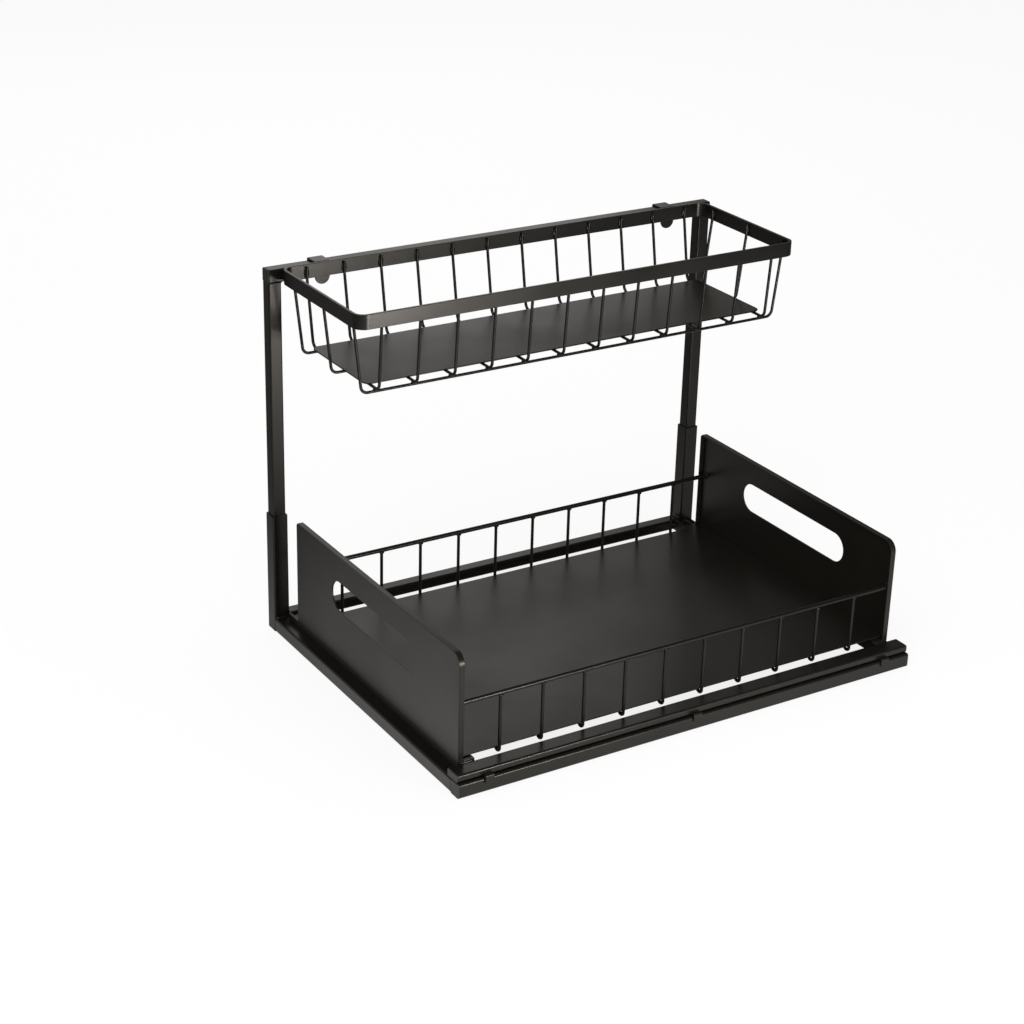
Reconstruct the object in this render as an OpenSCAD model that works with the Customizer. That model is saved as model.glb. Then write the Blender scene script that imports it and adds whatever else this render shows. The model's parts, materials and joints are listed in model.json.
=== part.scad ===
// Two-tier under sink organizer.
// A welded base frame carries a pull-out tray on two ball slides. Two posts stand in
// sleeves at the back, and a wire basket hangs on their top bar by two hooks.
// The origin is under the middle of the object: +X right, +Y back, +Z up. Millimetres.

/* [Base frame] */
// Width over the base frame
frame_w = 360; // [320:5:420]
// Depth from the front tube's face to the back of the sleeves
frame_d = 268.3; // [256:1:300]
// Side of the square base tubes
tube_w = 10; // [9:0.5:12]
// Wall of the base tubes
tube_wall = 1; // [0.8:0.1:1.5]
// Outer corner radius of the base tubes
tube_r = 1.5; // [1:0.1:2]
// How far the rear tube is raised off the floor
rear_lift = 2; // [0:0.5:6]

/* [Upper frame] */
// Height of the top bar's upper face
bar_top = 265.5; // [250:0.5:380]
// Side of the square posts and top bar
post_w = 9.4; // [8:0.2:10]
// Wall of the posts and top bar
post_wall = 0.8; // [0.6:0.1:1.2]
// Outer corner radius of the posts, the top bar and the sleeves
post_r = 1.2; // [0.9:0.1:1.8]
// Height of the sleeves
sleeve_h = 88; // [60:1:120]
// Wall of the sleeves
sleeve_wall = 0.9; // [0.7:0.1:1.2]
// Gap between a post and its sleeve, each side
sleeve_gap = 0.1; // [0.05:0.05:0.3]
// Thickness of the plate that closes a sleeve's foot
sleeve_floor = 1.5; // [1:0.5:3]

/* [Tray] */
// Distance from the frame's side to the outside of a side panel
tray_inset = 8; // [7:0.5:10]
// Distance from the side panels' rear edges to the sleeves
tray_rear_gap = 20; // [15:0.5:45]
// Height of the side panels
panel_h = 75.5; // [60:0.5:100]
// Sheet thickness of the panels
sheet_t = 1.2; // [0.8:0.1:1.5]
// Width of the flange round a panel's front, top and rear
flange_w = 4; // [2.5:0.5:6]
// Width of a panel's foot, which lies on the slide
foot_w = 12; // [10:0.5:16]
// Radius of a panel's upper corner at the front
panel_front_r = 8; // [4:1:14]
// Radius of a panel's upper corner at the rear
panel_rear_r = 3; // [2:0.5:14]
// Length of the hand slot
slot_l = 117; // [80:1:140]
// Height of the hand slot
slot_h = 21.5; // [16:0.5:26]
// Distance from a panel's top to the middle of its slot
slot_drop = 29.5; // [20:0.5:40]
// Thickness of the tray floor
floor_t = 1; // [0.8:0.1:1.5]
// Height of the turned-down sides that the floor stands on
floor_rise = 1.8; // [1:0.1:4]
// Depth of the tray's front bar
front_bar_d = 12.4; // [10:0.2:14]
// Height of the tray's front bar
front_bar_h = 5.2; // [4.4:0.1:5.3]
// Wall of the front bar
front_bar_wall = 0.8; // [0.6:0.1:1]
// Corner radius of the front bar's section
front_bar_r = 1.4; // [1:0.1:2]
// Distance from the base's front face back to the front bar
front_bar_setback = 2.2; // [1:0.1:4]
// Thickness of the stop tabs on the front bar
tab_t = 1; // [0.8:0.1:1.5]
// Width of a stop tab
tab_w = 6.4; // [5:0.2:9]
// Distance from the frame's side to the middle of an outer stop tab
tab_inset = 22; // [12:1:60]
// How far a stop tab reaches below the top of the base tube
tab_drop = 3.2; // [2:0.2:5]
// How far a stop tab stands above the top of the base tube
tab_rise = 2.2; // [1.5:0.1:3]

/* [Wire guards] */
// Diameter of a guard's top rail
rail_d = 3.2; // [2.5:0.1:4]
// Diameter of the guard uprights
upright_d = 2.2; // [1.8:0.1:3]
// Height of the top rail's middle over the tray floor
guard_h = 37; // [25:0.5:60]
// Number of uprights in a guard
upright_count = 10; // [6:1:14]
// Distance from a panel's outside to the middle of the nearest upright
upright_inset = 31.6; // [20:0.2:50]
// Centre-line radius of the curl that grips the floor
curl_r = 2.4; // [2:0.1:3.5]

/* [Ball slides] */
// How far the tray pulls out
tray_travel = 150; // [100:5:150]
// Width of a slide's outer member
slide_w = 12; // [11.6:0.1:12.4]
// Distance from a slide's rear end to the sleeve
slide_rear_gap = 5; // [2:0.5:10]
// Height of the outer member
slide_h = 5.2; // [5:0.1:5.3]
// Side wall of the outer member
slide_wall = 1.3; // [1.2:0.05:1.4]
// Thickness of the outer member's web
slide_web = 0.9; // [0.7:0.05:0.95]
// Thickness of the inner member
inner_t = 1; // [0.9:0.05:1.1]
// Ball diameter
ball_d = 2.8; // [2.7:0.05:2.9]
// Depth of the ball tracks
track_depth = 0.35; // [0.3:0.05:0.45]
// Radial play between a ball and its track
ball_play = 0.03; // [0.02:0.01:0.05]
// Balls in one row
ball_count = 9; // [5:1:9]
// Distance from ball to ball
ball_pitch = 7; // [5:0.5:7]
// Thickness of the ball cage
cage_t = 0.4; // [0.3:0.05:0.5]
// Length of cage past the last ball
cage_end = 3; // [2:0.5:4]
// Thickness of the angle that carries a slide
angle_t = 1.2; // [1:0.1:1.5]
// Height of the angle's upright leg
angle_h = 8; // [6:0.5:9]
// Shank diameter of the slide rivets
rivet_d = 3; // [2.5:0.1:3.5]
// Head diameter of the slide rivets
rivet_head_d = 5.5; // [4.5:0.1:6]
// Head height of the slide rivets
rivet_head_h = 1; // [0.8:0.1:1.4]
// Distance from a slide's end to its nearest rivet
rivet_inset = 18; // [8:1:50]

/* [Basket] */
// Distance from the frame's side to the outside of the rim
basket_inset = 8.5; // [8:0.5:30]
// Depth over the rim
basket_d = 110; // [90:1:130]
// Height of the rim strip
rim_h = 10; // [8:0.5:14]
// Thickness of the rim strip
rim_t = 2; // [1.5:0.1:2.5]
// Outer corner radius of the rim
rim_r = 8; // [5:0.5:14]
// How far the rim stands above the top bar
rim_rise = 1.5; // [1:0.1:5]
// Diameter of the basket wires
wire_d = 2; // [1.6:0.1:2.6]
// Distance from the rim's top to the middle of the cross wires' bottoms
basket_drop = 54.5; // [40:0.5:80]
// Number of cross wires
cross_count = 12; // [8:1:12]
// Distance from the rim's end to the middle of the nearest cross wire
cross_inset = 18.5; // [14:0.5:30]
// How far the front wall leans in towards the bottom
front_lean = 3.5; // [2:0.5:10]
// How far the back wall leans in towards the bottom
back_lean = 8; // [2:0.5:10]
// How far the end walls lean in towards the bottom
end_lean = 5.5; // [2:0.5:8]
// Centre-line radius of the wire bends
bend_r = 5; // [3:0.5:7]

// Distance from a wire's upper end to the rim's top
wire_end_drop = 1.5; // [1:0.5:3]
// Distance from the bends at the basket's ends to the bottom plate
plate_end_gap = 0.5; // [0:0.5:20]
// Distance from the bends at the front to the bottom plate
plate_front_gap = 5; // [0:0.5:15]
// Distance from the bends at the back to the bottom plate
plate_back_gap = 0.5; // [0:0.5:15]
// Thickness of the bottom plate
plate_t = 1; // [0.8:0.1:1.5]
// Corner radius of the bottom plate
plate_r = 5; // [2:0.5:8]

/* [Hooks] */
// Width of a hook
hook_w = 11; // [8:0.5:18]
// Thickness of a hook
hook_t = 1.2; // [1:0.1:1.6]
// Gap between a hook and the bar it hangs on
hook_gap = 0.3; // [0.2:0.05:0.5]
// Distance from the rim's end to the middle of a hook
hook_inset = 31.5; // [24:0.5:80]
// How far a hook's round tongue reaches below the rim
tongue_reach = 6; // [5.5:0.5:16]
// How far a hook reaches below the bar's top behind the bar
hook_reach = 12; // [6:0.5:13]

/* [End caps] */
// Thickness of the end caps' heads
cap_t = 1; // [0.8:0.1:1.5]
// Length of an end cap's stem inside its tube
cap_stem = 6; // [4:0.5:10]
// Gap between a cap's stem and its tube
cap_gap = 0.05; // [0.02:0.01:0.1]

/* [Hidden] */
$fn = 48;

// Moving pieces stay this far from what they pass over
slip = 0.3;
// A panel's foot lies this far above what the slide needs
foot_clearance = 0.1;
// The ball cage keeps this far from the slide's members
cage_clearance = 0.25;
// A sleeve's bore has sharper corners than the post, by this radius
corner_ease = 0.5;
// A slide's wall stands this far above its ball track
track_rim = 0.4;
// Cuts run this far past the faces they open
cut = 1;
// A wire's straights run this far into its bends, which are thicker by the excess
bend_overlap = 0.1;
bend_excess = 0.02;

// Depth layout: the hooks and the stop tabs stand proud of the frame, back and front
sleeve_w = post_w + 2 * (sleeve_gap + sleeve_wall);
hook_proud = hook_gap + hook_t - (sleeve_w - post_w) / 2;
tab_gap = 0.2;
tab_proud = tab_t + tab_gap;
back_y = (frame_d + tab_proud - hook_proud) / 2;
front_y = back_y - frame_d;
side_x = frame_w / 2;

// Upper frame
post_x = side_x - sleeve_w / 2;
post_y = back_y - sleeve_w / 2;
bar_bottom = bar_top - post_w;
bar_l = 2 * post_x + post_w - 2 * cap_t;
rear_bar_y = post_y;
bar_front = post_y - post_w / 2;
sleeve_front = back_y - sleeve_w;

// Tray
tray_w = frame_w - 2 * tray_inset;
front_bar_y = front_y + front_bar_setback;
front_bar_back = front_bar_y + front_bar_d;
front_bar_z = tube_w + slip;
front_bar_l = frame_w - 2 * slip - 2 * cap_t;
panel_x = tray_w / 2;
panel_y = front_bar_back + slip / 2;
panel_z = tube_w + slide_h + slip + foot_clearance;
panel_rear = sleeve_front - tray_rear_gap;
panel_d = panel_rear - panel_y;
foot_top = panel_z + sheet_t;
floor_z = foot_top + floor_rise;
guard_front = panel_y + sheet_t + rail_d / 2;
guard_rear = panel_rear - sheet_t - rail_d / 2;
guard_z = floor_z + floor_t + guard_h;
floor_front = guard_front + upright_d / 2;
floor_rear = guard_rear - upright_d / 2;
upright_pitch = (tray_w - 2 * upright_inset) / (upright_count - 1);

// Ball slides, drawn about their own middle line and then set under the panels' feet
slide_x = panel_x - slide_w / 2 - slip;
slide_y = front_bar_back + 2 * slip;
slide_l = sleeve_front - slide_rear_gap - slide_y;
slide_z = tube_w;
ball_x = slide_w / 2 - slide_wall + track_depth - ball_d / 2 - ball_play;
ball_z = slide_z + slide_h - ball_d / 2 - track_rim;
inner_half = ball_x - ball_d / 2 - ball_play + track_depth;
inner_z = slide_z + slide_web + cage_t + 2 * cage_clearance;
cage_l = (ball_count - 1) * ball_pitch + 2 * (cage_end + ball_d / 2);
cage_y = (slide_y + panel_rear) / 2;
rivet_y = slide_y + slide_l / 2;
rivet_pitch = slide_l / 2 - rivet_inset;

// Basket
basket_w = frame_w - 2 * basket_inset;
rim_top = bar_top + rim_rise;
rim_bottom = rim_top - rim_h;
rim_back = bar_front - hook_gap - hook_t;
rim_mid_y = rim_back - basket_d / 2;
cross_z = rim_top - basket_drop;
long_z = cross_z - wire_d;
wire_end_z = rim_top - wire_end_drop;
cross_pitch = (basket_w - 2 * cross_inset) / (cross_count - 1);
// From the basket's middle out to the wires at the rim
wall_y = basket_d / 2 - rim_t - wire_d / 2;
end_x = basket_w / 2 - rim_t - wire_d / 2;
// Where the bottom is flat: past the bends at its front, back and ends
flat_front = rim_mid_y - wall_y + front_lean + bend_r;
flat_back = rim_mid_y + wall_y - back_lean - bend_r;
flat_x = end_x - end_lean - bend_r;

steel = "#33322f";
steel_light = "#4a4844";
bright_steel = "#9a9c9e";
plastic = "#1f1f1f";

// A flat shape with four round corners
module rounded_rect(w, h, r) {
    square([w - 2 * r, h], center = true);
    square([w, h - 2 * r], center = true);
    for (x = [-1, 1], y = [-1, 1])
        translate([x * (w / 2 - r), y * (h / 2 - r)]) circle(r);
}

// A rectangular tube's section
module tube_section(w, h, r, wall) {
    difference() {
        rounded_rect(w, h, r);
        rounded_rect(w - 2 * wall, h - 2 * wall, max(r - wall, 0.2));
    }
}

// A flat cap with a stem that plugs into a tube, its head facing +Z
module end_cap(w, h, r, wall) {
    linear_extrude(cap_t) rounded_rect(w, h, r);
    translate([0, 0, -cap_stem])
        linear_extrude(cap_stem)
            rounded_rect(w - 2 * (wall + cap_gap), h - 2 * (wall + cap_gap), max(r - wall, 0.2));
}

// Turn a shape drawn in the XY plane so that its x lies along Y, its y along Z, its z along X
module in_yz() {
    rotate([90, 0, 90]) children();
}

// Turn a shape drawn in the XY plane so that its y lies along Z and its z along -Y
module in_xz() {
    rotate([90, 0, 0]) children();
}

// The angle that a path turns through at its corner i
function turn_at(p, i) =
    let (a = p[i] - p[i - 1], b = p[i + 1] - p[i])
    atan2(a.x * b.y - a.y * b.x, a * b);

// How much of each straight a bend takes up at corner i
function bend_take(p, i, r) =
    (i == 0 || i == len(p) - 1) ? 0 : r * tan(abs(turn_at(p, i)) / 2);

// A round wire through the corners of a flat path, with true arcs at the bends.
// A bend is a hair thicker and the straights end inside it, so that they join soundly.
module bent_wire(p, d, r) {
    for (i = [0 : len(p) - 2]) {
        v = p[i + 1] - p[i];
        start = i == 0 ? 0 : bend_take(p, i, r) - bend_overlap;
        end = i == len(p) - 2 ? 0 : bend_take(p, i + 1, r) - bend_overlap;
        translate(p[i]) rotate(atan2(v.y, v.x)) translate([start, 0])
            rotate([0, 90, 0]) cylinder(d = d, h = norm(v) - start - end);
        if (i > 0) {
            t = turn_at(p, i);
            before = p[i] - p[i - 1];
            translate(p[i]) rotate(atan2(before.y, before.x))
                translate([-bend_take(p, i, r), (t > 0 ? 1 : -1) * r])
                    rotate(t > 0 ? -90 : 90 + t)
                        rotate_extrude(angle = abs(t)) translate([r, 0]) circle(d = d + bend_excess);
        }
    }
}

module base_front_tube() {
    color(steel)
        translate([-side_x + cap_t, front_y + tube_w / 2, tube_w / 2])
            in_yz() linear_extrude(frame_w - 2 * cap_t) tube_section(tube_w, tube_w, tube_r, tube_wall);
}

module base_side_tube() {
    color(steel)
        translate([side_x - tube_w / 2, sleeve_front, tube_w / 2])
            in_xz() linear_extrude(sleeve_front - front_y - tube_w)
                tube_section(tube_w, tube_w, tube_r, tube_wall);
}

module base_rear_bar() {
    color(steel)
        translate([sleeve_w - side_x, rear_bar_y, rear_lift + tube_w / 2])
            in_yz() linear_extrude(frame_w - 2 * sleeve_w)
                tube_section(tube_w, tube_w, tube_r, tube_wall);
}

module base_end_caps() {
    color(plastic)
        for (side = [0, 1])
            mirror([side, 0, 0])
                translate([side_x - cap_t, front_y + tube_w / 2, tube_w / 2])
                    in_yz() end_cap(tube_w, tube_w, tube_r, tube_wall);
}

module sleeve() {
    color(steel)
        translate([post_x, post_y, 0])
            difference() {
                linear_extrude(sleeve_h) rounded_rect(sleeve_w, sleeve_w, post_r);
                translate([0, 0, sleeve_floor])
                    linear_extrude(sleeve_h)
                        rounded_rect(sleeve_w - 2 * sleeve_wall, sleeve_w - 2 * sleeve_wall, post_r - corner_ease);
            }
}

module post() {
    color(steel)
        translate([post_x, post_y, sleeve_floor])
            linear_extrude(bar_bottom - sleeve_floor) tube_section(post_w, post_w, post_r, post_wall);
}

module top_bar() {
    color(steel)
        translate([-bar_l / 2, post_y, bar_bottom + post_w / 2])
            in_yz() linear_extrude(bar_l) tube_section(post_w, post_w, post_r, post_wall);
}

module top_bar_caps() {
    color(plastic)
        for (side = [0, 1])
            mirror([side, 0, 0])
                translate([bar_l / 2, post_y, bar_bottom + post_w / 2])
                    in_yz() end_cap(post_w, post_w, post_r, post_wall);
}

// One rivet at each of the three places along a slide
module at_rivets() {
    for (k = [-1, 0, 1])
        translate([slide_x, rivet_y + k * rivet_pitch, slide_z]) children();
}

// The angle is welded to the side tube and carries the slide level with the tube's top
module slide_angle() {
    leg_x = side_x - tube_w;
    reach = leg_x - (slide_x - slide_w / 2);
    color(steel)
        difference() {
            translate([leg_x, sleeve_front, slide_z])
                in_xz() linear_extrude(sleeve_front - front_y - tube_w) {
                    translate([-angle_t, -angle_h]) square([angle_t, angle_h]);
                    translate([-reach, -angle_t]) square([reach, angle_t]);
                }
            at_rivets() translate([0, 0, -angle_t - cut]) cylinder(d = rivet_d, h = angle_t + 2 * cut);
        }
}

// The outer member lies on its back: a channel with a ball track in each wall
module slide_outer() {
    color(bright_steel)
        difference() {
            translate([slide_x, slide_y + slide_l, slide_z])
                in_xz() linear_extrude(slide_l) difference() {
                    translate([-slide_w / 2, 0]) square([slide_w, slide_h]);
                    translate([-slide_w / 2 + slide_wall, slide_web])
                        square([slide_w - 2 * slide_wall, slide_h]);
                    for (side = [-1, 1])
                        translate([side * ball_x, ball_z - slide_z]) circle(ball_d / 2 + ball_play);
                }
            at_rivets() translate([0, 0, -cut]) cylinder(d = rivet_d, h = slide_web + 2 * cut);
        }
}

// The inner member is a narrow channel, open below, under the panel's foot
module slide_inner() {
    height = panel_z - inner_z;
    color(bright_steel)
        translate([slide_x, panel_rear, inner_z])
            in_xz() linear_extrude(panel_rear - front_bar_back) difference() {
                translate([-inner_half, 0]) square([2 * inner_half, height]);
                translate([-inner_half + inner_t, -cut])
                    square([2 * (inner_half - inner_t), height - inner_t + cut]);
                for (side = [-1, 1])
                    translate([side * ball_x, ball_z - inner_z]) circle(ball_d / 2 + ball_play);
            }
}

module slide_rivets() {
    color(bright_steel)
        for (side = [0, 1])
            mirror([side, 0, 0]) at_rivets() {
                translate([0, 0, -angle_t]) cylinder(d = rivet_d, h = angle_t + slide_web);
                translate([0, 0, -angle_t - rivet_head_h]) cylinder(d = rivet_head_d, h = rivet_head_h);
            }
}

// Every ball's place along one slide
module at_balls() {
    for (side = [-1, 1], k = [0 : ball_count - 1])
        translate([slide_x + side * ball_x, cage_y + (k - (ball_count - 1) / 2) * ball_pitch, ball_z])
            children();
}

module ball_cage() {
    base_z = slide_z + slide_web + cage_clearance;
    wall_top = ball_z + ball_d / 2 - slip;
    color("#b9a45e")
        difference() {
            translate([slide_x, cage_y + cage_l / 2, base_z])
                in_xz() linear_extrude(cage_l) {
                    translate([-ball_x - cage_t / 2, 0]) square([2 * ball_x + cage_t, cage_t]);
                    for (side = [-1, 1])
                        translate([side * ball_x - cage_t / 2, 0]) square([cage_t, wall_top - base_z]);
                }
            at_balls() rotate([0, 90, 0]) cylinder(d = ball_d + 2 * ball_play, h = ball_d, center = true);
        }
}

module balls() {
    color(bright_steel) at_balls() sphere(d = ball_d);
}

module tray_front_bar() {
    color(steel)
        translate([-front_bar_l / 2, front_bar_y + front_bar_d / 2, front_bar_z + front_bar_h / 2])
            in_yz() linear_extrude(front_bar_l)
                tube_section(front_bar_d, front_bar_h, front_bar_r, front_bar_wall);
}

module front_bar_caps() {
    color(plastic)
        for (side = [0, 1])
            mirror([side, 0, 0])
                translate([front_bar_l / 2, front_bar_y + front_bar_d / 2, front_bar_z + front_bar_h / 2])
                    in_yz() end_cap(front_bar_d, front_bar_h, front_bar_r, front_bar_wall);
}

// Each tab hooks over the base's front tube and stops the tray when it is pushed home
module stop_tabs() {
    tab_front = front_y - tab_proud;
    top_z = tube_w + tab_rise;
    color(steel)
        for (k = [-1, 0, 1])
            translate([k * (side_x - tab_inset) - tab_w / 2, 0, 0])
                in_yz() linear_extrude(tab_w) {
                    translate([tab_front, tube_w - tab_drop]) square([tab_t, tab_drop + tab_rise - tab_t]);
                    translate([tab_front + tab_t, top_z - tab_t]) circle(tab_t);
                    translate([tab_front + tab_t, front_bar_z])
                        square([front_bar_y - tab_front - tab_t, top_z - front_bar_z]);
                }
}

// A panel's outline seen from the side, drawn in from its front, top and rear by inset
module panel_outline(inset, below) {
    high = panel_h - inset;
    front = panel_front_r - inset;
    rear = panel_rear_r - inset;
    difference() {
        translate([inset, -below]) square([panel_d - 2 * inset, high + below]);
        translate([inset - cut, high - front]) square(front + cut);
        translate([panel_d - inset - rear, high - rear]) square(rear + cut);
    }
    translate([inset + front, high - front]) circle(front);
    translate([panel_d - inset - rear, high - rear]) circle(rear);
}

module hand_slot() {
    straight = slot_l - slot_h;
    translate([panel_d / 2, panel_h - slot_drop]) {
        square([straight, slot_h], center = true);
        for (y = [-1, 1]) translate([y * straight / 2, 0]) circle(d = slot_h);
    }
}

module side_panel() {
    color(steel)
        translate([panel_x, panel_y, panel_z]) {
            translate([-sheet_t, 0, 0])
                in_yz() linear_extrude(sheet_t) difference() {
                    panel_outline(0, 0);
                    hand_slot();
                }
            translate([-flange_w, 0, 0])
                in_yz() linear_extrude(flange_w - sheet_t) difference() {
                    panel_outline(0, 0);
                    panel_outline(sheet_t, cut);
                }
            translate([-foot_w, 0, 0]) cube([foot_w - sheet_t, panel_d, sheet_t]);
        }
}

// The floor is a shallow tray turned over: its sides stand on the panels' feet
module tray_floor() {
    floor_w = tray_w - 2 * sheet_t;
    floor_d = floor_rear - floor_front;
    color(steel_light) {
        translate([-floor_w / 2, floor_front, floor_z]) cube([floor_w, floor_d, floor_t]);
        for (side = [0, 1])
            mirror([side, 0, 0])
                translate([floor_w / 2 - floor_t, floor_front, foot_top])
                    cube([floor_t, floor_d, floor_rise]);
    }
}

module guard_rail(y) {
    rail_l = tray_w - 2 * sheet_t;
    color(steel) translate([-rail_l / 2, y, guard_z]) rotate([0, 90, 0]) cylinder(d = rail_d, h = rail_l);
}

// The uprights end in a saddle under the rail and curl up under the floor
module guard_uprights(y, inward) {
    curl_z = floor_z - curl_r - slip;
    color(steel)
        difference() {
            for (k = [0 : upright_count - 1])
                translate([(k - (upright_count - 1) / 2) * upright_pitch, 0, 0])
                    in_yz() bent_wire([
                        [y, guard_z],
                        [y, curl_z],
                        [y + inward * 2 * curl_r, curl_z],
                        [y + inward * 2 * curl_r, floor_z]], upright_d, curl_r);
            guard_rail(y);
        }
}

module basket_rim() {
    color(steel)
        translate([0, rim_mid_y, rim_bottom])
            linear_extrude(rim_h) difference() {
                rounded_rect(basket_w, basket_d, rim_r);
                rounded_rect(basket_w - 2 * rim_t, basket_d - 2 * rim_t, rim_r - rim_t);
            }
}

// Half of a wire's path, from its upper end at the rim to the bottom
function wire_half(out, lean, low, side) = [
    [side * out, wire_end_z],
    [side * out, rim_bottom],
    [side * (out - lean), low]];

module u_wire(out, lean_1, lean_2, low) {
    one = wire_half(out, lean_1, low, -1);
    two = wire_half(out, lean_2, low, 1);
    bent_wire(concat(one, [two[2], two[1], two[0]]), wire_d, bend_r);
}

module cross_wire(i) {
    color(steel)
        translate([(i - (cross_count + 1) / 2) * cross_pitch, rim_mid_y, 0])
            in_yz() u_wire(wall_y, front_lean, back_lean, cross_z);
}

module long_wire(k) {
    color(steel)
        translate([0, (flat_front + flat_back) / 2 + k * (flat_back - flat_front) / 2, 0])
            in_xz() u_wire(end_x, end_lean, end_lean, long_z);
}

module basket_plate() {
    front = flat_front + plate_front_gap;
    back = flat_back - plate_back_gap;
    color(steel_light)
        translate([0, (front + back) / 2, cross_z + wire_d / 2])
            linear_extrude(plate_t) rounded_rect(2 * (flat_x - plate_end_gap), back - front, plate_r);
}

// A strip bent over the bar: a round tongue in front, welded to the rim, and a short leg behind
module hook() {
    outer_w = post_w + 2 * (hook_gap + hook_t);
    top_z = bar_top + hook_gap + hook_t;
    turn_z = top_z - hook_t;
    round_z = rim_bottom - tongue_reach + hook_w / 2;
    leg_z = bar_top - hook_reach;
    color(steel)
        translate([basket_w / 2 - hook_inset, rim_back, 0]) {
            translate([-hook_w / 2, 0, 0])
                in_yz() linear_extrude(hook_w) {
                    translate([0, round_z]) square([hook_t, turn_z - round_z]);
                    translate([outer_w - hook_t, leg_z]) square([hook_t, turn_z - leg_z]);
                    translate([hook_t, turn_z]) square([outer_w - 2 * hook_t, hook_t]);
                    for (y = [hook_t, outer_w - hook_t])
                        translate([y, turn_z]) intersection() {
                            circle(hook_t);
                            translate([-outer_w, 0]) square([2 * outer_w, hook_t]);
                        }
                }
            translate([0, hook_t, round_z])
                in_xz() linear_extrude(hook_t) intersection() {
                    circle(d = hook_w);
                    translate([-hook_w / 2, -hook_w / 2]) square([hook_w, hook_w / 2]);
                }
        }
}

module left() {
    mirror([1, 0, 0]) children();
}

base_front_tube();
left() base_side_tube();  // base_left_tube
base_side_tube();  // base_right_tube
base_rear_bar();
base_end_caps();
left() sleeve();  // left_sleeve
sleeve();  // right_sleeve
left() post();  // left_post
post();  // right_post
top_bar();
top_bar_caps();
left() slide_angle();  // left_slide_angle
slide_angle();  // right_slide_angle
left() slide_outer();  // left_slide_outer
slide_outer();  // right_slide_outer
slide_rivets();
left() ball_cage();  // left_ball_cage
ball_cage();  // right_ball_cage
left() balls();  // left_balls
balls();  // right_balls
left() slide_inner();  // left_slide_inner
slide_inner();  // right_slide_inner
tray_front_bar();
front_bar_caps();
stop_tabs();
left() side_panel();  // left_side_panel
side_panel();  // right_side_panel
tray_floor();
guard_rail(guard_front);  // front_guard_rail
guard_uprights(guard_front, 1);  // front_guard_uprights
guard_rail(guard_rear);  // rear_guard_rail
guard_uprights(guard_rear, -1);  // rear_guard_uprights
basket_rim();
basket_plate();
left() hook();  // left_hook
hook();  // right_hook
long_wire(-1);  // front_long_wire
long_wire(0);  // middle_long_wire
long_wire(1);  // rear_long_wire
for (i = [1 : cross_count])
    cross_wire(i);
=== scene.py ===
# %% [markdown]
# # An under sink organizer, dressed in Blender
#
# The organizer is made of black powder-coated steel: square tubes, sheet panels and wire.
# Its shape comes from a CAD model, and this lesson gives that shape the finish of the real thing.
# We load the CAD model first, because every piece that we make is placed by it.

# %% Load the CAD frame
import bpy
import json
from math import cos, radians, sin
from mathutils import Matrix, Vector


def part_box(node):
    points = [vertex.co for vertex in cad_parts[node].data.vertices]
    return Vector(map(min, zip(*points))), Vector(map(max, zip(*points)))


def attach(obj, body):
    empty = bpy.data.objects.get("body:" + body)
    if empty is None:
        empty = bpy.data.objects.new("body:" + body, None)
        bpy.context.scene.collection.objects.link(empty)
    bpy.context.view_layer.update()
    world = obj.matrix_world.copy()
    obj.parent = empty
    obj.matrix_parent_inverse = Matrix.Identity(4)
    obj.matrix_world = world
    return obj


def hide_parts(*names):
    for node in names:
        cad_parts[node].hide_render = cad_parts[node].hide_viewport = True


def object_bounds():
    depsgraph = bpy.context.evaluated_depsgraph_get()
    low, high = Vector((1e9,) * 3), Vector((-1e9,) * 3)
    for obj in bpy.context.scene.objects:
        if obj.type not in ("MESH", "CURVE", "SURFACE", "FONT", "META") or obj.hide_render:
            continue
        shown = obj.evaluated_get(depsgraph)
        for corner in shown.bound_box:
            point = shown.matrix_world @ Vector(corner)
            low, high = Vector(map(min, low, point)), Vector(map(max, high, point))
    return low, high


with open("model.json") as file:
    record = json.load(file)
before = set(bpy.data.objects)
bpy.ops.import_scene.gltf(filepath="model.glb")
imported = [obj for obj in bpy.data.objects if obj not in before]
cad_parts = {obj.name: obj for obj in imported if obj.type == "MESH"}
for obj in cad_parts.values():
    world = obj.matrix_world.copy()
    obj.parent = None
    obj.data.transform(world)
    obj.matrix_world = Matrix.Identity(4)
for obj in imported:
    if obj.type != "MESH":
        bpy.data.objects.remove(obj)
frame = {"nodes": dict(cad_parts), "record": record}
cad_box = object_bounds()

# %% [markdown]
# ## The camera
#
# The photograph is taken from the left, a little above, with a long lens. The camera could be
# placed by eye, but its place was worked out from edges whose real lengths are known, so that the
# render lies over the photograph. The camera also leans by a degree and a half, as the real one did.

# %% Place the camera where the photographer stood
azimuth, elevation, lean = radians(-32.0), radians(24.2), radians(1.53)
camera_place = Vector((-0.776, -1.141, 0.721))
SENSOR_MM = 36.0
# The lens's focal length and the photograph's width, both in pixels
FOCAL_PX = 2215
FRAME_PX = 1024
back = Vector((sin(azimuth) * cos(elevation), -cos(azimuth) * cos(elevation), sin(elevation)))
level_right = (-back).cross(Vector((0, 0, 1))).normalized()
level_up = level_right.cross(-back)
right = cos(lean) * level_right + sin(lean) * level_up
up = -sin(lean) * level_right + cos(lean) * level_up

bpy.ops.object.camera_add()
camera = bpy.context.object
camera.name = "photographers_camera"
camera.data.sensor_width = SENSOR_MM
camera.data.lens = SENSOR_MM * FOCAL_PX / FRAME_PX
turn = Matrix((right, up, back)).transposed().to_4x4()
camera.matrix_world = Matrix.Translation(camera_place) @ turn
bpy.context.scene.camera = camera
print("lens:", round(camera.data.lens, 1), "mm")

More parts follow.
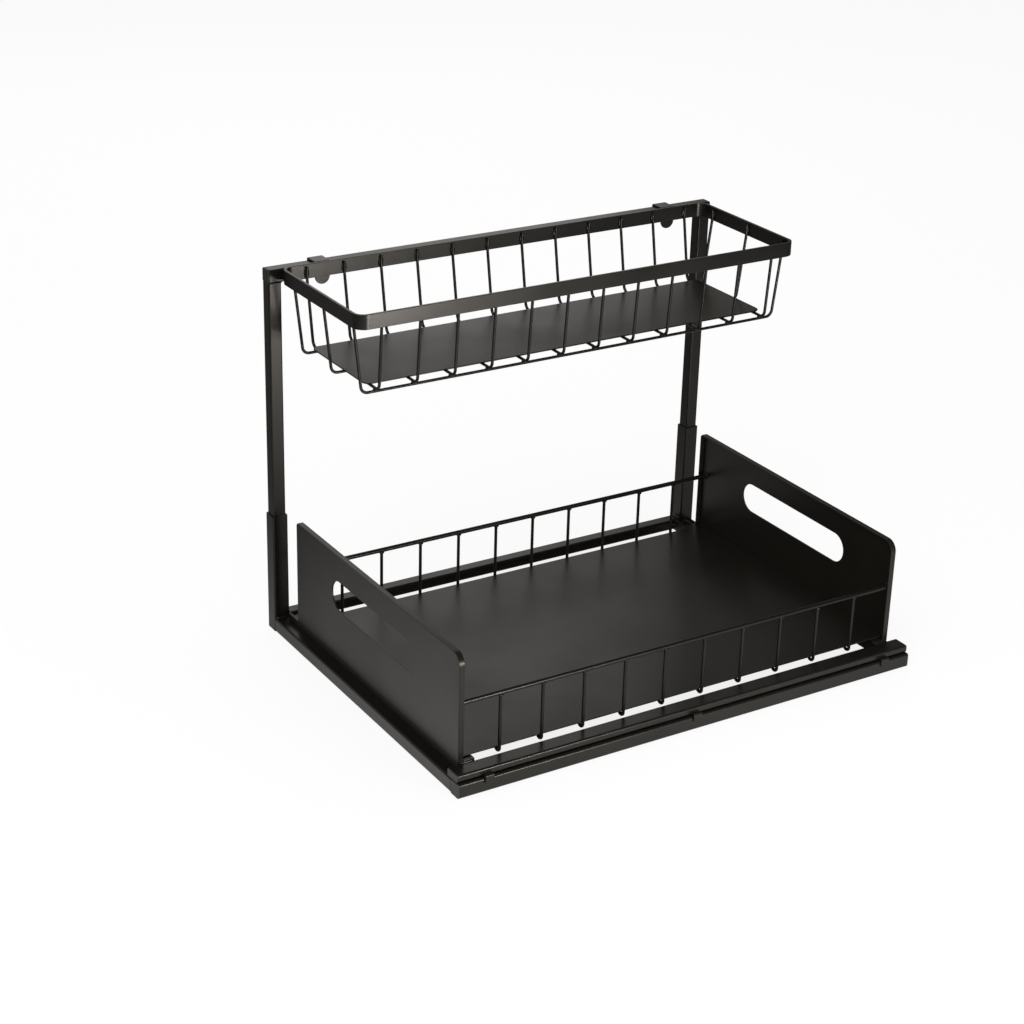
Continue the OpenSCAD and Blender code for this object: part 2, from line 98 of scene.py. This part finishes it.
# %% [markdown]
# ## The studio
#
# Black satin steel shows what stands around it more than its own colour. The photograph was taken
# on white paper under soft light. An even white room would turn every face the same grey, so what
# the metal mirrors is described with some care. Camera rays see white all round. Glossy rays see the
# white of the paper's far end near the horizon, and a dimmer room above it and to the right, where
# the light is blocked. That is what turns the upright faces light on the left and dark on the right.

# %% A helper for colours and one for material nodes
def linear(hex_colour):
    """The linear colour that Blender needs, from an sRGB hex value."""
    channels = [int(hex_colour[i:i + 2], 16) / 255 for i in (1, 3, 5)]
    return [c / 12.92 if c <= 0.04045 else ((c + 0.055) / 1.055) ** 2.4 for c in channels] + [1.0]


def add_node(tree, kind, settings={}, values={}, links={}):
    """Adds a shader node, with its settings, its sockets' values and the links into its sockets."""
    node = tree.nodes.new(kind)
    for name, value in settings.items():
        setattr(node, name, value)
    for socket, value in values.items():
        node.inputs[socket].default_value = value
    for socket, source in links.items():
        tree.links.new(source, node.inputs[socket])
    return node


print("#808080 in linear light:", round(linear("#808080")[0], 3))

# %% A white world that lights the object from all round
ROOM_STRENGTH = 0.62
world = bpy.data.worlds.new("white_sweep")
bpy.context.scene.world = world
world.use_nodes = True
tree = world.node_tree
tree.nodes.clear()
room = add_node(tree, "ShaderNodeBackground",
                values={"Color": linear("#ffffff"), "Strength": ROOM_STRENGTH})
print("room light:", ROOM_STRENGTH)

# %% What the gloss mirrors: white at the horizon, dimmer above and to the right
# Generated coordinates of the world are the direction that a ray looks in
direction = add_node(tree, "ShaderNodeTexCoord")
parts = add_node(tree, "ShaderNodeSeparateXYZ", links={0: direction.outputs["Generated"]})
# White up to 5 degrees above the horizon, and dim from 20 degrees on
upward = add_node(tree, "ShaderNodeMapRange",
                  values={"From Min": 0.08, "From Max": 0.35, "To Min": 1.0, "To Max": 0.3},
                  links={"Value": parts.outputs["Z"]})
# Dimmer towards the right, where the light is blocked
sideways = add_node(tree, "ShaderNodeMapRange",
                    values={"From Min": 0.1, "From Max": 0.7, "To Min": 1.0, "To Max": 0.22},
                    links={"Value": parts.outputs["X"]})
fade = add_node(tree, "ShaderNodeMath", {"operation": "MULTIPLY"},
                links={0: upward.outputs[0], 1: sideways.outputs[0]})
mirrored = add_node(tree, "ShaderNodeBackground", values={"Color": linear("#fff6ea")},
                    links={"Strength": fade.outputs[0]})
print("mirrored room:", len(tree.nodes), "nodes so far")

# %% Show each kind of ray its own world
rays = add_node(tree, "ShaderNodeLightPath")
seen = add_node(tree, "ShaderNodeMath", {"operation": "MAXIMUM"},
                links={0: rays.outputs["Is Camera Ray"], 1: rays.outputs["Is Transmission Ray"]})
paper_white = add_node(tree, "ShaderNodeBackground",
                       values={"Color": linear("#ffffff"), "Strength": 1.0})
lighting = add_node(tree, "ShaderNodeMixShader",
                    links={0: rays.outputs["Is Glossy Ray"],
                           1: room.outputs[0], 2: mirrored.outputs[0]})
choice = add_node(tree, "ShaderNodeMixShader",
                  links={0: seen.outputs[0], 1: lighting.outputs[0], 2: paper_white.outputs[0]})
add_node(tree, "ShaderNodeOutputWorld", links={"Surface": choice.outputs[0]})
print("world nodes:", len(tree.nodes))

# %% Two large soft lamps and a low one
def soft_lamp(name, place, target, size, watts):
    """A square softbox that faces the target."""
    bpy.ops.object.light_add(type="AREA", location=place)
    lamp = bpy.context.object
    lamp.name = name
    lamp.data.size = size
    lamp.data.energy = watts
    lamp.rotation_euler = (Vector(target) - Vector(place)).to_track_quat("-Z", "Y").to_euler()
    return lamp


ABOVE_THE_TRAY = (0, 0, 0.1)
RIMS_LEFT_END = (-0.17, -0.13, 0.26)
soft_lamp("key_softbox", (-1.1, -0.9, 1.9), ABOVE_THE_TRAY, 1.4, 26)
soft_lamp("back_softbox", (0.5, 1.5, 1.15), ABOVE_THE_TRAY, 1.2, 5)
# Stands on the floor in front, so that the rim mirrors it at its left end, and is out of sight
low_lamp = soft_lamp("low_front_softbox", (0.1, -0.71, 0.04), RIMS_LEFT_END, 0.2, 5.5)
low_lamp.visible_camera = False

# %% [markdown]
# ## The paper floor
#
# To the camera most of the paper's white is its own glow, so that it stays white all over and keeps
# only a soft shadow of the object, where it is matt and lit by the lamps. To the metal a flat white
# floor would be too bright, because the real paper is lit most strongly in front of the object, and
# is dimmer behind it and in shadow below it. So for glossy rays the paper is white in a pool in
# front, and fades away from it and under the footprint.

# %% Lay the paper
PAPER_M = 16
bpy.ops.mesh.primitive_plane_add(size=PAPER_M, location=(0, 0, 0))
floor = bpy.context.object
floor.name = "paper_floor"
print("paper:", PAPER_M, "m square")

# %% How much the paper glows to each kind of ray
# To the camera, this share of the paper's white is its own glow
PAPER_GLOW = 0.86
paper = bpy.data.materials.new("white paper sweep")
paper.use_nodes = True
tree = paper.node_tree
tree.nodes.clear()
rays = add_node(tree, "ShaderNodeLightPath")
seen = add_node(tree, "ShaderNodeMath", {"operation": "MAXIMUM"},
                links={0: rays.outputs["Is Camera Ray"], 1: rays.outputs["Is Transmission Ray"]})
glow = add_node(tree, "ShaderNodeMath", {"operation": "MULTIPLY_ADD"},
                {1: PAPER_GLOW}, {0: seen.outputs[0], 2: rays.outputs["Is Glossy Ray"]})
print("glow to the camera:", PAPER_GLOW)

# %% The pool of light in front of the object
# Its middle, in metres
POOL_CENTRE = (-0.1, -0.45, 0)
spot = add_node(tree, "ShaderNodeTexCoord")
centred = add_node(tree, "ShaderNodeMapping",
                   {"vector_type": "TEXTURE"}, {"Location": POOL_CENTRE},
                   {"Vector": spot.outputs["Object"]})
# Bright within 0.3 m of that point, and dim from 0.9 m on
pool = add_node(tree, "ShaderNodeTexGradient", {"gradient_type": "SPHERICAL"},
                links={"Vector": centred.outputs[0]})
bounce = add_node(tree, "ShaderNodeMapRange", {"interpolation_type": "SMOOTHSTEP"},
                  {"From Min": 0.1, "From Max": 0.7, "To Min": 0.15, "To Max": 1.0},
                  {"Value": pool.outputs["Fac"]})
print("pool of light round:", POOL_CENTRE)

# %% The shade under the object
# The shade is this much larger than the object's half width and half depth
SHADE_SIZE = 1.06
half_shade = (cad_box[1][0] * SHADE_SIZE, cad_box[1][1] * SHADE_SIZE, 1.0)
footprint = add_node(tree, "ShaderNodeMapping", {"vector_type": "TEXTURE"},
                     {"Scale": half_shade}, {"Vector": spot.outputs["Object"]})
# How far out of the footprint's middle a point is: 1 on its edge
outward = add_node(tree, "ShaderNodeVectorMath", {"operation": "ABSOLUTE"},
                   links={0: footprint.outputs[0]})
sides = add_node(tree, "ShaderNodeSeparateXYZ", links={0: outward.outputs[0]})
farther = add_node(tree, "ShaderNodeMath", {"operation": "MAXIMUM"},
                   links={0: sides.outputs["X"], 1: sides.outputs["Y"]})
shade = add_node(tree, "ShaderNodeMapRange", {"interpolation_type": "SMOOTHSTEP"},
                 {"From Min": 0.75, "From Max": 1.0, "To Min": 0.04, "To Max": 1.0},
                 {"Value": farther.outputs[0]})
print("half the shade, in metres:", [round(half, 3) for half in half_shade[:2]])

# %% Mix the glow with matt paper
shaded = add_node(tree, "ShaderNodeMath", {"operation": "MULTIPLY"},
                  links={0: bounce.outputs[0], 1: shade.outputs[0]})
strength = add_node(tree, "ShaderNodeMix", {"data_type": "FLOAT"}, {2: 1.0},
                    {0: rays.outputs["Is Glossy Ray"], 3: shaded.outputs[0]})
matt = add_node(tree, "ShaderNodeBsdfDiffuse", values={"Color": linear("#f7f7f5")})
lit = add_node(tree, "ShaderNodeEmission", values={"Color": linear("#ffffff")},
               links={"Strength": strength.outputs[0]})
blend = add_node(tree, "ShaderNodeMixShader",
                 links={0: glow.outputs[0], 1: matt.outputs[0], 2: lit.outputs[0]})
add_node(tree, "ShaderNodeOutputMaterial", links={"Surface": blend.outputs[0]})
floor.data.materials.append(paper)
# Colours come out as they are written, without the look of a film
bpy.context.scene.view_settings.view_transform = "Standard"
print("paper nodes:", len(tree.nodes))

# %% [markdown]
# ## Powder-coated steel
#
# Nearly all of the organizer is mild steel with a black powder coat. Powder is sprayed on dry and
# melts to a skin of about 80 microns. It flows together imperfectly, so the skin keeps a fine
# orange peel with grains of about half a millimetre, which breaks reflections up into a satin
# glow. A pixel of the render is nearly as large as that, so the grains are drawn about twice as
# coarse to show at all. We use a non-metal shader, since light meets the plastic skin and not the
# steel, a noise for the grain as bump, and a much larger noise that varies the roughness as
# thickness does.

# %% Powder coat
MM = 0.001
# The coat's thickness drifts over this distance, and its gloss with it
DRIFT_MM = 60
# Orange peel stands this far above the skin
PEEL_DEPTH_MM = 0.04


def powder_coat(name, colour, worn_colour, roughness, peel_mm, specular):
    """A baked powder coat: satin skin, orange peel of the given grain, slow changes of gloss."""
    material = bpy.data.materials.new(name)
    material.use_nodes = True
    tree = material.node_tree
    tree.nodes.clear()
    place = add_node(tree, "ShaderNodeTexCoord")
    drift = add_node(tree, "ShaderNodeTexNoise", values={"Scale": 1 / (DRIFT_MM * MM), "Detail": 3.0},
                     links={"Vector": place.outputs["Object"]})
    gloss = add_node(tree, "ShaderNodeMapRange",
                     values={"From Min": 0.3, "From Max": 0.7,
                             "To Min": roughness - 0.04, "To Max": roughness + 0.05},
                     links={"Value": drift.outputs["Fac"]})
    tint = add_node(tree, "ShaderNodeMix", {"data_type": "RGBA"},
                    {6: linear(colour), 7: linear(worn_colour)}, {0: drift.outputs["Fac"]})
    peel = add_node(tree, "ShaderNodeTexNoise", values={"Scale": 1 / (peel_mm * MM), "Detail": 2.0},
                    links={"Vector": place.outputs["Object"]})
    skin = add_node(tree, "ShaderNodeBump", values={"Strength": 0.35, "Distance": PEEL_DEPTH_MM * MM},
                    links={"Height": peel.outputs["Fac"]})
    coat = add_node(tree, "ShaderNodeBsdfPrincipled",
                    values={"IOR": 1.5, "Metallic": 0.0, "Specular IOR Level": specular,
                            "Specular Tint": linear("#fff7ec")},
                    links={"Base Color": tint.outputs[2], "Roughness": gloss.outputs[0],
                           "Normal": skin.outputs[0]})
    add_node(tree, "ShaderNodeOutputMaterial", links={"Surface": coat.outputs[0]})
    return material


tube_coat = powder_coat("powder-coated steel tube", "#0d0c0b", "#131210", 0.31, 0.9, 0.32)
sheet_coat = powder_coat("powder-coated sheet steel", "#100e0c", "#161310", 0.35, 1.1, 0.28)
wire_coat = powder_coat("powder-coated steel wire", "#0b0a0a", "#100f0e", 0.31, 0.8, 0.28)
print("coats:", [coat.name for coat in (tube_coat, sheet_coat, wire_coat)])

# %% [markdown]
# ## Zinc, bearing steel and plastic
#
# The slides are rolled from zinc-plated steel strip, whose passivation turns it dark grey. A metal
# has no colour of its own under its gloss, so its shader is metallic, and what shows the rolling is
# a gloss that changes in fine lines along the slide. The rivets are plain zinc, the balls polished
# bearing steel and the ball cages yellow-passivated. The plugs in the tube ends are injection-moulded
# polyethylene, which is duller than the coat and carries the grain of its mould. Real rolling
# lines and mould grain are about 0.1 mm, and both are drawn three or four times as coarse to show.

# %% Rolled metal
LINE_PITCH_MM = 0.3
LINE_LENGTH_MM = 60


def rolled_metal(name, colour, roughness):
    """Strip metal with faint lines along Y, the way it went through the rolls."""
    material = bpy.data.materials.new(name)
    material.use_nodes = True
    tree = material.node_tree
    tree.nodes.clear()
    place = add_node(tree, "ShaderNodeTexCoord")
    across, along = 1 / (LINE_PITCH_MM * MM), 1 / (LINE_LENGTH_MM * MM)
    stretch = add_node(tree, "ShaderNodeMapping", values={"Scale": (across, along, across)},
                       links={"Vector": place.outputs["Object"]})
    lines = add_node(tree, "ShaderNodeTexNoise", values={"Scale": 1.0, "Detail": 2.0},
                     links={"Vector": stretch.outputs[0]})
    gloss = add_node(tree, "ShaderNodeMapRange",
                     values={"To Min": roughness - 0.06, "To Max": roughness + 0.08},
                     links={"Value": lines.outputs["Fac"]})
    metal = add_node(tree, "ShaderNodeBsdfPrincipled",
                     values={"Base Color": linear(colour), "Metallic": 1.0},
                     links={"Roughness": gloss.outputs[0]})
    add_node(tree, "ShaderNodeOutputMaterial", links={"Surface": metal.outputs[0]})
    return material


black_zinc = rolled_metal("black-passivated zinc-plated steel strip", "#3b3b3c", 0.42)
zinc = rolled_metal("zinc-plated rivet steel", "#b9bcbe", 0.34)
ball_steel = rolled_metal("polished bearing steel", "#c9cbcd", 0.14)
yellow_zinc = rolled_metal("yellow-passivated steel strip", "#b8a25c", 0.36)
print("metals:", [metal.name for metal in (black_zinc, zinc, ball_steel, yellow_zinc)])

# %% Moulded plastic
GRAIN_MM = 0.4
GRAIN_DEPTH_MM = 0.03


def moulded_plastic(name, colour, roughness):
    """Injection-moulded plastic with the fine spark-eroded grain of its mould."""
    material = bpy.data.materials.new(name)
    material.use_nodes = True
    tree = material.node_tree
    tree.nodes.clear()
    place = add_node(tree, "ShaderNodeTexCoord")
    grain = add_node(tree, "ShaderNodeTexNoise", values={"Scale": 1 / (GRAIN_MM * MM), "Detail": 1.0},
                     links={"Vector": place.outputs["Object"]})
    skin = add_node(tree, "ShaderNodeBump", values={"Strength": 0.3, "Distance": GRAIN_DEPTH_MM * MM},
                    links={"Height": grain.outputs["Fac"]})
    plastic = add_node(tree, "ShaderNodeBsdfPrincipled",
                       values={"Base Color": linear(colour), "Roughness": roughness, "IOR": 1.51},
                       links={"Normal": skin.outputs[0]})
    add_node(tree, "ShaderNodeOutputMaterial", links={"Surface": plastic.outputs[0]})
    return material


plug_plastic = moulded_plastic("moulded polyethylene plug", "#161616", 0.55)
print("plastic:", plug_plastic.name)

# %% [markdown]
# ## Round edges on every part
#
# A powder coat cannot cover a sharp edge: it draws back and leaves a radius of a few tenths of a
# millimetre, and that radius catches a thin line of light along every edge. The CAD solids have
# sharp edges and flat facets on their curves. A shader can fake round edges, but an exported mesh
# would lose them. So each part is copied, its loose triangles are merged to whole faces, a narrow
# bevel rounds the sharp edges, and the curves are shaded smooth. Smooth shading would also bend the
# light on the large flat faces beside the bevel, so a Weighted Normal modifier lets the largest
# faces decide. The copy stands for the CAD part.

# %% A dressed copy of a CAD part
# Points closer than this are one point, and faces that meet flatter than this are one face
MERGE_MM = 0.001
FLAT_DEG = 0.5
# Edges sharper than this get a radius, and faces that meet flatter than this are shaded as one
ROUNDED_DEG = 50
SMOOTH_DEG = 40
pieces = {}


def body_of(node):
    """The CAD body that a node belongs to."""
    bodies = frame["record"]["behaviour"]["bodies"]
    return [name for name, members in bodies.items() if node in members][0]


def dressed(node, material, edge_mm):
    """A smooth copy of a CAD node in its real finish, its sharp edges rounded by edge_mm."""
    bpy.ops.object.select_all(action="DESELECT")
    source = frame["nodes"][node]
    source.select_set(True)
    bpy.context.view_layer.objects.active = source
    bpy.ops.object.duplicate()
    piece = bpy.context.object
    piece.name = node + "_dressed"
    bpy.ops.object.mode_set(mode="EDIT")
    bpy.ops.mesh.select_all(action="SELECT")
    bpy.ops.mesh.remove_doubles(threshold=MERGE_MM * MM)
    bpy.ops.mesh.dissolve_limited(angle_limit=radians(FLAT_DEG))
    bpy.ops.object.mode_set(mode="OBJECT")
    if edge_mm:
        bevel = piece.modifiers.new("edge_radius", "BEVEL")
        bevel.width = edge_mm * MM
        bevel.segments = 2
        bevel.limit_method = "ANGLE"
        bevel.angle_limit = radians(ROUNDED_DEG)
        bpy.ops.object.modifier_apply(modifier=bevel.name)
    bpy.ops.object.shade_smooth_by_angle(angle=radians(SMOOTH_DEG))
    flat = piece.modifiers.new("flat_faces_stay_flat", "WEIGHTED_NORMAL")
    flat.keep_sharp = True
    bpy.ops.object.modifier_apply(modifier=flat.name)
    piece.data.materials.clear()
    piece.data.materials.append(material)
    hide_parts(node)
    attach(piece, body_of(node))
    pieces[node] = piece


print("parts to dress:", len(frame["nodes"]))

# %% [markdown]
# ## Tubes, sheets, wires and slides
#
# Each kind of part has the edge that its making leaves. A welded tube has rounded corners already
# and needs only the cut ends broken. A sheet is deburred after laser cutting, and flat bar is
# rounder still from rolling. A wire has no edges but its cropped ends, and the slides' thin strip
# stays crisp. So the parts are dressed kind by kind, each with its finish and its edge radius.

# %% Tubes, bars and sleeves
TUBE_EDGE_MM = 0.15
TUBES = ["base_front_tube", "base_left_tube", "base_right_tube", "base_rear_bar",
         "left_sleeve", "right_sleeve", "left_post", "right_post", "top_bar", "tray_front_bar"]
for name in TUBES:
    dressed(name, tube_coat, TUBE_EDGE_MM)
print("tubes and bars dressed:", len(TUBES))

# %% Sheet parts, and the flat steel of the basket's rim and hooks
SHEET_EDGE_MM = 0.25
FLAT_EDGE_MM = 0.3
SHEETS = ["left_side_panel", "right_side_panel", "tray_floor", "basket_plate",
          "stop_tabs", "left_slide_angle", "right_slide_angle"]
FLAT_STEEL = ["basket_rim", "left_hook", "right_hook"]
for name in SHEETS:
    dressed(name, sheet_coat, SHEET_EDGE_MM)
for name in FLAT_STEEL:
    dressed(name, tube_coat, FLAT_EDGE_MM)
print("sheet and flat parts dressed:", len(SHEETS + FLAT_STEEL))

# %% Wires
WIRE_EDGE_MM = 0.2
WIRES = ["front_guard_rail", "rear_guard_rail", "front_guard_uprights", "rear_guard_uprights",
         "front_long_wire", "middle_long_wire", "rear_long_wire"]
WIRES += [name for name in frame["nodes"] if name.startswith("cross_wire_")]
for name in WIRES:
    dressed(name, wire_coat, WIRE_EDGE_MM)
print("wires dressed:", len(WIRES))

# %% Slides, balls, rivets and plugs
STRIP_EDGE_MM = 0.1
RIVET_EDGE_MM = 0.15
PLUG_EDGE_MM = 0.3
for side in ("left", "right"):
    dressed(side + "_slide_outer", black_zinc, STRIP_EDGE_MM)
    dressed(side + "_slide_inner", black_zinc, STRIP_EDGE_MM)
    dressed(side + "_ball_cage", yellow_zinc, 0)
    dressed(side + "_balls", ball_steel, 0)
dressed("slide_rivets", zinc, RIVET_EDGE_MM)
for name in ("base_end_caps", "top_bar_caps", "front_bar_caps"):
    dressed(name, plug_plastic, PLUG_EDGE_MM)
print("parts dressed in all:", len(pieces))

# %% [markdown]
# ## The gap behind the tray
#
# The photograph shows a strip of white paper between the tray's rear edge and the rear bar. The gap
# is there because the bar stands off the floor on its welds, and the tray's floor ends short of it.
# The CAD parts hide it by a hair, so their dressed copies are moved by a millimetre or three: the
# vertices on one side are selected by place and moved together, so that the rest of a part stays.

# %% Move part of a piece
def nudge(node, shift_mm, chosen=lambda place: True):
    """Moves the chosen vertices of a dressed part by so many millimetres."""
    piece = pieces[node]
    bpy.ops.object.select_all(action="DESELECT")
    piece.select_set(True)
    bpy.context.view_layer.objects.active = piece
    bpy.ops.object.mode_set(mode="EDIT")
    bpy.ops.mesh.select_mode(type="VERT")
    bpy.ops.mesh.select_all(action="DESELECT")
    bpy.ops.object.mode_set(mode="OBJECT")
    for vertex in piece.data.vertices:
        vertex.select = chosen(vertex.co / MM)
    moved = sum(vertex.select for vertex in piece.data.vertices)
    bpy.ops.object.mode_set(mode="EDIT")
    bpy.ops.transform.translate(value=Vector(shift_mm) * MM)
    bpy.ops.object.mode_set(mode="OBJECT")
    print(node + ":", moved, "of", len(piece.data.vertices), "vertices moved")


print("parts that can be moved:", len(pieces))

# %% Open the gap
FLOOR_DROP_MM = 1.5
REAR_GUARD_MM = Vector((0, -3.2, 1.8))
BAR_LIFT_MM = 2.0
# Heights between the points that move and those that stay
BAR_MIDDLE_MM = 7
FLOOR_FOOT_MM = 18
GUARD_MIDDLE_MM = 35
nudge("base_rear_bar", (0, 0, BAR_LIFT_MM), lambda place: place.z < BAR_MIDDLE_MM)
nudge("tray_floor", (0, 0, -FLOOR_DROP_MM), lambda place: place.z > FLOOR_FOOT_MM)
nudge("tray_floor", (0, REAR_GUARD_MM.y, 0), lambda place: place.y > 0)
nudge("rear_guard_rail", REAR_GUARD_MM)
nudge("rear_guard_uprights", (0, REAR_GUARD_MM.y, 0))
nudge("rear_guard_uprights", (0, 0, REAR_GUARD_MM.z), lambda place: place.z > GUARD_MIDDLE_MM)
for guard in ("front_guard_uprights", "rear_guard_uprights"):
    nudge(guard, (0, 0, -FLOOR_DROP_MM), lambda place: place.z < GUARD_MIDDLE_MM)

# %% [markdown]
# ## Weld beads
#
# The tubes are joined by short arc welds. Where two tubes meet in a corner, the puddle leaves a
# round bead whose ripples follow the torch, and the coat runs over it. A plain cylinder in the
# corner would look like a rod, so the bead is grown ring by ring: a small disc is extruded along
# the seam and made wider and narrower in turn, and closed with a narrow end.

# %% Grow a bead along a seam
RIPPLE_MM = 0.9
FEWEST_RINGS = 5
BEAD_SIDES = 12
BEAD_SMOOTH_DEG = 60
# Widths as shares of the radius: the two ends, and the crest and trough of a ripple
START, END = 0.55, 0.5
CREST, TROUGH = 1.0, 0.84


def weld_bead(name, start, end, radius_mm, body):
    """An arc weld from start to end, in mm, with one ring for each ripple."""
    start, end = Vector(start) * MM, Vector(end) * MM
    rings = max(FEWEST_RINGS, round((end - start).length / (RIPPLE_MM * MM)))
    step = (end - start) / rings
    widths = [START] + [CREST if i % 2 else TROUGH for i in range(1, rings)] + [END]
    bpy.ops.object.select_all(action="DESELECT")
    bpy.ops.mesh.primitive_circle_add(vertices=BEAD_SIDES, radius=radius_mm * MM * widths[0],
                                      fill_type="NGON", location=start,
                                      rotation=step.to_track_quat("Z", "X").to_euler())
    bead = bpy.context.object
    bead.name = name
    bpy.ops.object.transform_apply(location=True, rotation=True, scale=True)
    bpy.ops.object.mode_set(mode="EDIT")
    bpy.ops.mesh.select_all(action="SELECT")
    for i in range(rings):
        bpy.ops.mesh.extrude_region_move(TRANSFORM_OT_translate={"value": step})
        swell = widths[i + 1] / widths[i]
        bpy.ops.transform.resize(value=(swell, swell, swell), center_override=start + step * (i + 1))
    bpy.ops.mesh.select_all(action="SELECT")
    bpy.ops.mesh.normals_make_consistent(inside=False)
    bpy.ops.object.mode_set(mode="OBJECT")
    bpy.ops.object.shade_smooth_by_angle(angle=radians(BEAD_SMOOTH_DEG))
    bead.data.materials.append(tube_coat)
    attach(bead, body)


print("a ripple every", RIPPLE_MM, "mm")

# %% Find the seams on the right side
def corners(node):
    """A node's lowest and highest corner in mm."""
    low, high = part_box(node)
    return Vector(low) / MM, Vector(high) / MM


tube_low, tube_high = corners("base_right_tube")
sleeve_low, _ = corners("right_sleeve")
rear_low, rear_high = corners("base_rear_bar")
post_low, post_high = corners("right_post")
angle_low, angle_high = corners("right_slide_angle")
panel_low, panel_high = corners("right_side_panel")
_, bar_high = corners("tray_front_bar")
# A bead stops this far from the ends of its seam
MARGIN_MM = 1.0
# The slide angles are held by three short stitches along Y
STITCHES = (("front", -95), ("middle", 0), ("rear", 95))
HALF_STITCH_MM = 6
# Each seam has a name, two ends, a bead radius and a body
seams = [
    ("base_to_sleeve_weld", (tube_low.x + MARGIN_MM, sleeve_low.y, tube_high.z),
     (tube_high.x - MARGIN_MM, sleeve_low.y, tube_high.z), 1.3, "frame"),
    ("rear_bar_weld", (rear_high.x, rear_low.y + MARGIN_MM, rear_high.z),
     (rear_high.x, rear_high.y - MARGIN_MM, rear_high.z), 1.3, "frame"),
    ("rear_bar_back_weld", (rear_high.x, rear_high.y, rear_low.z + BAR_LIFT_MM + MARGIN_MM),
     (rear_high.x, rear_high.y, rear_high.z - MARGIN_MM), 1.1, "frame"),
    ("top_bar_weld", (post_low.x, post_low.y + MARGIN_MM, post_high.z),
     (post_low.x, post_high.y - MARGIN_MM, post_high.z), 1.3, "frame"),
    ("tray_front_weld", (panel_low.x + MARGIN_MM, bar_high.y, bar_high.z),
     (panel_high.x - MARGIN_MM, bar_high.y, bar_high.z), 0.8, "tray"),
]
seams += [("angle_" + stitch + "_stitch", (angle_high.x, y - HALF_STITCH_MM, angle_low.z),
           (angle_high.x, y + HALF_STITCH_MM, angle_low.z), 1.1, "frame") for stitch, y in STITCHES]
print("seams on a side:", len(seams))

# %% Weld both sides, the left as the right's mirror image
for side, sign in (("left", -1), ("right", 1)):
    for seam, (x0, y0, z0), (x1, y1, z1), radius_mm, body in seams:
        weld_bead(side + "_" + seam, (sign * x0, y0, z0), (sign * x1, y1, z1), radius_mm, body)
print("arc welds grown:", 2 * len(seams))

# %% [markdown]
# ## Spot welds on the wires
#
# The wires are joined by resistance welding: two electrodes squeeze the crossing, the steel melts
# inside and bulges out a little at the sides. One bulge is modelled from a cube that is subdivided
# and pulled towards a sphere. It is then copied to the crossings, and the copies of one kind of
# crossing are joined to one piece.

# %% One bulge, copied to every weld
# How far the cube is pulled towards a sphere: 1 is all the way
ROUNDNESS = 0.9


def spot_welds(name, places, size_mm, body):
    """Weld bulges of a size along X, Y and Z at the places, in mm."""
    bpy.ops.object.select_all(action="DESELECT")
    bpy.ops.mesh.primitive_cube_add(size=1)
    bulge = bpy.context.object
    bpy.ops.object.mode_set(mode="EDIT")
    bpy.ops.mesh.select_all(action="SELECT")
    bpy.ops.mesh.subdivide(number_cuts=2)
    bpy.ops.transform.tosphere(value=ROUNDNESS)
    bpy.ops.transform.resize(value=Vector(size_mm) * MM)
    bpy.ops.object.mode_set(mode="OBJECT")
    bpy.ops.object.shade_smooth()
    bulges = [bulge]
    for place in places[1:]:
        bpy.ops.object.duplicate()
        bulges.append(bpy.context.object)
    for copy, place in zip(bulges, places):
        copy.location = Vector(place) * MM
        copy.select_set(True)
    bpy.ops.object.join()
    bpy.ops.object.transform_apply(location=True, rotation=True, scale=True)
    welds = bpy.context.object
    welds.name = name
    welds.data.materials.append(wire_coat)
    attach(welds, body)
    print(name + ":", len(places))


print("a bulge is a cube pulled", ROUNDNESS, "of the way to a sphere")

# %% Weld the basket
RIM_T_MM = 2.0
# The middle of a bulge lies this far inside the rim's wall
BULGE_INSET_MM = 0.4
CROSS_WIRES = 12
LONG_WIRES = ("front_long_wire", "middle_long_wire", "rear_long_wire")
rim_low, rim_high = corners("basket_rim")
cross_x = [sum(c.x for c in corners("cross_wire_" + str(i + 1))) / 2 for i in range(CROSS_WIRES)]
long_y = [sum(c.y for c in corners(name)) / 2 for name in LONG_WIRES]
cross_low, cross_high = corners("cross_wire_1")
lap_z = (rim_low.z + cross_high.z) / 2
wall_x = (rim_low.x + RIM_T_MM + BULGE_INSET_MM, rim_high.x - RIM_T_MM - BULGE_INSET_MM)
wall_y = (rim_low.y + RIM_T_MM + BULGE_INSET_MM, rim_high.y - RIM_T_MM - BULGE_INSET_MM)
spot_welds("cross_wire_rim_welds", [(x, y, lap_z) for x in cross_x for y in wall_y],
           (2.9, 1.0, 5.0), "basket")
spot_welds("long_wire_rim_welds", [(x, y, lap_z) for y in long_y for x in wall_x],
           (1.0, 2.9, 5.0), "basket")
spot_welds("wire_crossing_welds", [(x, y, cross_low.z) for x in cross_x for y in long_y],
           (2.8, 2.8, 1.3), "basket")

# %% Weld the tray's guards
rail_low, rail_high = corners("rear_guard_rail")
upright_low, upright_high = corners("rear_guard_uprights")
front_low, front_high = corners("front_guard_rail")
UPRIGHT_MM = 2.2
UPRIGHTS = 10
first = upright_low.x + UPRIGHT_MM / 2
pitch = (upright_high.x - upright_low.x - UPRIGHT_MM) / (UPRIGHTS - 1)
upright_x = [first + i * pitch for i in range(UPRIGHTS)]
rail_middles = [(front_low + front_high) / 2, (rail_low + rail_high) / 2 + REAR_GUARD_MM]
half_rail = (rail_high.z - rail_low.z) / 2
# The middle of a bulge lies this far in from the end of its rail, which meets the panel
END_INSET_MM = 0.3
rail_ends = (rail_low.x + END_INSET_MM, rail_high.x - END_INSET_MM)
spot_welds("upright_rail_welds",
           [(x, middle.y, middle.z - half_rail) for x in upright_x for middle in rail_middles],
           (3.0, 3.0, 1.6), "tray")
spot_welds("rail_end_welds",
           [(x, middle.y, middle.z) for x in rail_ends for middle in rail_middles],
           (1.2, 4.4, 4.4), "tray")
